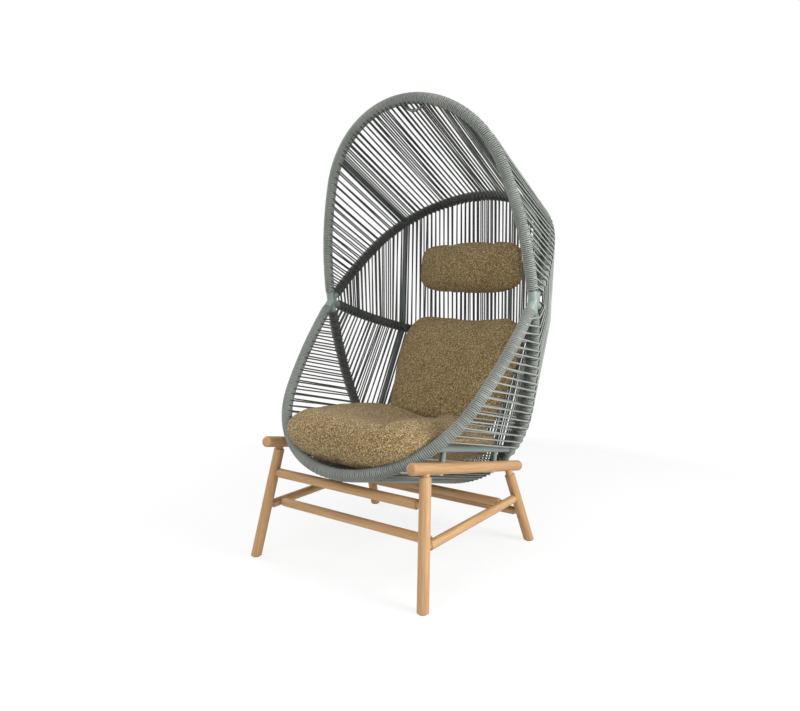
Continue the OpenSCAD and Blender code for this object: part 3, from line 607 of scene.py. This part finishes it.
def boucle_material():
    """Looped yarn in two sizes of cell, each with a shade of its own, and dark between the loops."""
    t = Tree("boucle")
    place = t.coords()
    wobble = t.node("ShaderNodeTexNoise", {"Vector": place, "Scale": 160.0, "Detail": 2.0})
    small = t.node("ShaderNodeVectorMath", {0: wobble.outputs["Color"], "Scale": 0.003}, operation="SCALE")
    warped = t.vector_math("ADD", place, small.outputs["Vector"])["Vector"]
    loops = t.cells(warped, 430.0)
    pick = t.node("ShaderNodeSeparateColor", {"Color": loops.outputs["Color"]})
    knots = t.cells(warped, 300.0)
    pick_big = t.node("ShaderNodeSeparateColor", {"Color": knots.outputs["Color"]})
    tone = t.ramp(
        pick.outputs["Red"], (0.0, srgb(44, 28, 16)), (0.22, srgb(104, 77, 50)), (0.55, srgb(146, 123, 85)),
        (0.82, srgb(184, 164, 118)), (1.0, srgb(236, 220, 172)),
    )
    tone = t.mix(t.grey(pick.outputs["Green"], (0.8, 0.0), (0.95, 0.55)), tone, srgb(134, 88, 62))
    tone = t.mix(0.3, tone, t.ramp(
        pick_big.outputs["Green"], (0.0, srgb(84, 60, 40)), (0.5, srgb(139, 118, 83)), (1.0, srgb(190, 170, 124)),
    ))
    broad = t.noise(place, 7.0, 3.0)
    tone = t.mix(t.grey(broad, (0.35, 0.0), (0.7, 0.2)), tone, srgb(126, 110, 70))
    gaps = t.grey(loops.outputs["Distance"], (0.1, 1.0), (0.75, 0.0))
    tone = t.mix(t.grey(loops.outputs["Distance"], (0.45, 0.0), (0.9, 0.6)), tone, srgb(54, 42, 24))
    fuzz = t.noise(place, 1100.0, 3.0, 0.7)
    t.surface(
        Base_Color=tone, Roughness=0.95,
        Normal=t.bump(fuzz, 0.4, 0.0006, t.bump(gaps, 0.8, 0.0016)),
        Specular_IOR_Level=0.15, Sheen_Weight=0.05, Sheen_Roughness=0.5,
    )
    return t.material


def dress(name, material):
    obj = nodes[name]
    obj.data.materials.clear()
    obj.data.materials.append(material)
    for polygon in obj.data.polygons:
        polygon.material_index = 0


# The rims have no painted shade; the inner hoops and the strung ropes get painted shade on faces that look into
# the pod
rim_rope = rope_material("rope_rims", True, 1.27, 1.0)
inner_rope = rope_material("rope_inner_hoops", True, 1.3, 0.32)
strung = rope_material("rope_strung", False, 1.3, 0.19)
for hoop_name in HOOPS:
    material = rim_rope if hoop_name.endswith("rim") else inner_rope
    bpy.data.objects[hoop_name + "_turns"].data.materials.append(material)
for panel in PANELS:
    bpy.data.objects[panel + "_strung"].data.materials.append(strung)

paint, rail_paint = paint_material("sage_powder_coat", 0.90), paint_material("rail_powder_coat", 0.80)
# The struts, posts and hoop tubes take the same sage coat at a darker share
dark_paint = paint_material("grey_powder_coat", 0.55)
steel, glide = steel_material(), glide_material()
SIDES = ("_left", "_right")
for stem, coat in (
    ("side_joint", paint), ("seat_rail", rail_paint), ("hood_strut", dark_paint), ("back_post", dark_paint),
    ("lower_post", dark_paint),
):
    for side in SIDES:
        dress(stem + side, coat)
for name in HOOPS:
    dress(name + "_tube", dark_paint)
dress("pod_spacers", rail_paint)
for name in ("pod_bolts", "bolt_washers"):
    dress(name, steel)
dress("foot_glides", glide)


def long_axis(name):
    """The way of a turned bar, from its own vertices."""
    co = np.array([v.co for v in nodes[name].data.vertices], float)
    way = np.linalg.svd(co - co.mean(0), full_matrices=False)[2][0]
    return way * (1 if way[np.argmax(np.abs(way))] > 0 else -1)


WOOD = [stem + side for stem in ("top_rail", "front_leg", "rear_leg", "side_stretcher") for side in SIDES]
WOOD += ["front_rail", "front_cross_rail", "rear_cross_rail", "rear_rail"]
for seed, name in enumerate(WOOD):
    dress(name, teak_material(name, long_axis(name), seed))

boucle = boucle_material()


# Cushions
def surface_copy(name, node, shrink):
    """A copy of a CAD cushion, drawn in along its normals."""
    mesh = nodes[node].data.copy()
    obj = new_object(name, mesh)
    weld = bmesh.new()
    weld.from_mesh(mesh)
    bmesh.ops.remove_doubles(weld, verts=weld.verts, dist=1e-5)
    bmesh.ops.recalc_face_normals(weld, faces=weld.faces)
    weld.normal_update()
    for v in weld.verts:
        v.co -= v.normal * shrink
    weld.to_mesh(mesh)
    weld.free()
    return obj


def applied(obj, kind, **settings):
    modifier = obj.modifiers.new(kind.lower(), kind)
    for key, value in settings.items():
        setattr(modifier, key, value)
    bpy.context.view_layer.update()
    mesh = bpy.data.meshes.new_from_object(obj.evaluated_get(bpy.context.evaluated_depsgraph_get()))
    obj.modifiers.clear()
    old, obj.data = obj.data, mesh
    bpy.data.meshes.remove(old)


def coords_of(mesh):
    flat = np.empty(len(mesh.vertices) * 3, np.float32)
    mesh.vertices.foreach_get("co", flat)
    return flat.reshape(-1, 3).astype(float)


def normals_of(mesh):
    flat = np.empty(len(mesh.vertices) * 3, np.float32)
    mesh.vertices.foreach_get("normal", flat)
    return flat.reshape(-1, 3).astype(float)


def set_coords(mesh, co):
    mesh.vertices.foreach_set("co", co.astype(np.float32).ravel())
    mesh.update()


def swell(obj, cap):
    """Fills the cover by cloth simulation. No point moves further than cap."""
    before = coords_of(obj.data)
    cloth = obj.modifiers.new("cloth", "CLOTH")
    s = cloth.settings
    s.quality = 5
    s.mass = 0.3
    s.tension_stiffness, s.compression_stiffness, s.shear_stiffness, s.bending_stiffness = 15, 15, 5, 0.6
    s.use_pressure = True
    s.uniform_pressure_force = COVER_PRESSURE
    s.effector_weights.gravity = 0.0
    cloth.collision_settings.use_collision = False
    cloth.point_cache.frame_start, cloth.point_cache.frame_end = 1, CLOTH_FRAMES
    scene = bpy.context.scene
    for number in range(1, CLOTH_FRAMES + 1):
        scene.frame_set(number)
    mesh = bpy.data.meshes.new_from_object(obj.evaluated_get(bpy.context.evaluated_depsgraph_get()))
    after = coords_of(mesh)
    bpy.data.meshes.remove(mesh)
    obj.modifiers.clear()
    scene.frame_set(1)
    moved = after - before
    size = np.linalg.norm(moved, axis=1, keepdims=True)
    moved *= np.minimum(1.0, cap / np.maximum(size, 1e-9))
    set_coords(obj.data, before + moved)


def fitted(obj, node, extra):
    """Stretches the filled cover to the extent of the CAD solid, and by extra past it on each side."""
    co, goal = coords_of(obj.data), coords_of(nodes[node].data)
    low, high = goal.min(0) - extra, goal.max(0) + extra
    share = (co - co.min(0)) / (co.max(0) - co.min(0))
    set_coords(obj.data, low + share * (high - low))


def smooth(v, low, high):
    """Rises from 0 at low to 1 at high."""
    t = np.clip((v - low) / (high - low), 0, 1)
    return t * t * (3 - 2 * t)


def relief(obj, waves, seed):
    """Moves the cover along its normals by noise. waves are (size, depth) pairs."""
    co, normal = coords_of(obj.data), normals_of(obj.data)
    lift = np.zeros(len(co))
    for size, depth in waves:
        lift += depth * np.array([noise.noise(Vector(p / size + seed)) for p in co])
    set_coords(obj.data, co + normal * lift[:, None])


def from_line(flat, a, b):
    """Distance of points from the line a to b, in the plane of the given two coordinates."""
    a, b = np.array(a), np.array(b)
    share = np.clip((flat - a) @ (b - a) / ((b - a) @ (b - a)), 0, 1)
    return np.linalg.norm(flat - (a + share[:, None] * (b - a)), axis=1)


def wrinkle(flat, a, b, depth, width):
    """A drawn-in line with a low lip on each side."""
    near = from_line(flat, a, b) / width
    return -depth * np.exp(-near ** 2) + 0.4 * depth * np.exp(-((near - 2.1) ** 2))


def wrinkled_front(co, normal, wrinkles, low, high):
    """Moves the points that face forward. low and high are where that begins and where it is in full."""
    lift = sum(wrinkle(co[:, [0, 2]], *line) for line in wrinkles)
    return co + normal * (smooth(-normal[:, 1], low, high) * lift)[:, None]


def seat_shape(obj):
    """The hollow where one sits, its fold on the right and small wrinkles on the front."""
    co, normal = coords_of(obj.data), normals_of(obj.data)
    x, y = co[:, 0], co[:, 1]
    up = smooth(normal[:, 2], 0.05, 0.5)
    # Distance to the right of the fold, which runs from the front to the middle of the rear
    beyond = x - (0.150 - 0.18 * (y + 0.42))
    along = smooth(y, -0.44, -0.30)
    drop = 0.015 * along * (1 - smooth(beyond, -0.004, 0.020)) * smooth(x, -0.14, 0.08)
    sunk = 0.018 * smooth(y, -0.28, 0.0) * smooth(x, -0.20, 0.0)
    fold = 0.007 * np.exp(-((beyond + 0.003) / 0.0065) ** 2) * smooth(y, -0.43, -0.34)
    roll = 0.006 * np.exp(-((beyond - 0.050) / 0.030) ** 2) * smooth(y, -0.42, -0.34)
    co[:, 2] += up * (roll - drop - sunk - fold)
    set_coords(obj.data, wrinkled_front(co, normal, SEAT_WRINKLES, 0.1, 0.4))
    relief(obj, ((0.075, 0.0028), (0.03, 0.0008)), 5.0)


def back_shape(obj):
    """Full corners with a hollow top edge between them, and sides that draw in towards the seat."""
    co, normal = coords_of(obj.data), normals_of(obj.data)
    flank = smooth(np.abs(co[:, 0]), 0.09, 0.20)
    full = 0.008 * np.exp(-((co[:, 2] - 0.65) / 0.06) ** 2)
    drawn_in = 0.013 * (1 - smooth(co[:, 2], 0.45, 0.57))
    co[:, 0] += np.sign(co[:, 0]) * flank * (full - drawn_in)
    top = smooth(co[:, 2], 0.66, 0.76)
    hollow = 0.009 * np.exp(-((co[:, 0] - 0.03) / 0.09) ** 2)
    ears = 0.019 * smooth(np.abs(co[:, 0]), 0.10, 0.20)
    co[:, 2] += top * (ears - hollow)
    set_coords(obj.data, wrinkled_front(co, normal, BACK_WRINKLES, 0.2, 0.6))
    relief(obj, ((0.08, 0.003), (0.035, 0.0008)), 15.0)


def head_shape(obj):
    """A little fuller at its lower left."""
    co = coords_of(obj.data)
    co[:, 0] -= 0.006 * smooth(-co[:, 0], 0.12, 0.2) * smooth(-co[:, 2], -0.99, -0.93)
    set_coords(obj.data, co)
    relief(obj, ((0.06, 0.0026), (0.03, 0.0007)), 35.0)


def cushion(name, node, shape, seed, grain, cap, extra):
    """A filled cover in the form of a CAD cushion. It starts drawn in by grain, in cells of that size."""
    obj = surface_copy(name, node, grain)
    applied(obj, "REMESH", mode="VOXEL", voxel_size=grain)
    swell(obj, cap)
    fitted(obj, node, np.array(extra))
    applied(obj, "SUBSURF", levels=1, render_levels=1)
    shape(obj)
    relief(obj, ((0.0036, 0.00032),), seed)
    obj.data.polygons.foreach_set("use_smooth", np.ones(len(obj.data.polygons), bool))
    obj.data.materials.clear()
    obj.data.materials.append(boucle)
    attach(obj, "root")
    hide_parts(node)
    return obj


seat = cushion("seat_pad", "seat_cushion", seat_shape, 1.0, 0.006, 0.010, (0.003, 0.003, 0.0))
back = cushion("back_pad", "back_cushion", back_shape, 21.0, 0.006, 0.010, (0.004, 0.0, 0.002))
head = cushion("head_pad", "headrest_cushion", head_shape, 47.0, 0.005, 0.008, (0.010, 0.002, 0.005))


# Floor, backdrop and light
def stage_floor():
    """A pale floor that keeps the chair's shadow and turns white away from it."""
    t = Tree("pale_floor")
    mesh = bpy.data.meshes.new("floor")
    corners = [(x * FLOOR_HALF, y * FLOOR_HALF, 0) for x, y in ((-1, -1), (1, -1), (1, 1), (-1, 1))]
    mesh.from_pydata(corners, [], [(0, 1, 2, 3)])
    obj = new_object("floor", mesh)
    path = t.node("ShaderNodeLightPath")
    seen = t.math("MAXIMUM", path.outputs["Is Camera Ray"], path.outputs["Is Glossy Ray"])
    seen = t.math("MAXIMUM", seen, path.outputs["Is Transmission Ray"])
    place = t.node("ShaderNodeTexCoord").outputs["Object"]
    far = t.vector_math("LENGTH", place)["Value"]
    pale = t.noise(place, 3.0, 3.0)
    t.surface(
        Base_Color=t.ramp(pale, (0.3, (0.80, 0.80, 0.80)), (0.7, (0.84, 0.84, 0.84))), Roughness=0.9,
    )
    glow = t.node("ShaderNodeEmission", {"Color": (1, 1, 1, 1), "Strength": 1.0})
    white = t.math("MAXIMUM", t.grey(t.math("MULTIPLY", far, 0.55), (0.45, 0.0), (1.0, 1.0)), 0.80)
    mixed = t.node("ShaderNodeMixShader", {
        0: t.math("MULTIPLY", seen, white), 1: t.shader.outputs["BSDF"], 2: glow.outputs["Emission"],
    })
    t.links.new(mixed.outputs["Shader"], t.nodes["Material Output"].inputs["Surface"])
    mesh.materials.append(t.material)


stage_floor()
world = bpy.data.worlds.new("studio")
bpy.context.scene.world = world
world.use_nodes = True
wt, wl = world.node_tree.nodes, world.node_tree.links
path = wt.new("ShaderNodeLightPath")
seen = path.outputs["Is Camera Ray"]
for kind in ("Is Glossy Ray", "Is Transmission Ray"):
    either = wt.new("ShaderNodeMath")
    either.operation = "MAXIMUM"
    wl.new(seen, either.inputs[0])
    wl.new(path.outputs[kind], either.inputs[1])
    seen = either.outputs[0]
level = wt.new("ShaderNodeMapRange")
level.inputs["To Min"].default_value = WORLD_LIGHT
level.inputs["To Max"].default_value = 1.0
wl.new(seen, level.inputs["Value"])
wt["Background"].inputs["Color"].default_value = (1, 1, 1, 1)
wl.new(level.outputs["Result"], wt["Background"].inputs["Strength"])


def lamp(name, place, target, size, power):
    data = bpy.data.lights.new(name, "AREA")
    data.shape = "RECTANGLE"
    data.size, data.size_y = size
    data.energy = power
    obj = bpy.data.objects.new(name, data)
    bpy.context.scene.collection.objects.link(obj)
    obj.location = place
    obj.rotation_euler = (Vector(target) - Vector(place)).to_track_quat("-Z", "Y").to_euler()


for settings in LAMPS:
    lamp(*settings)
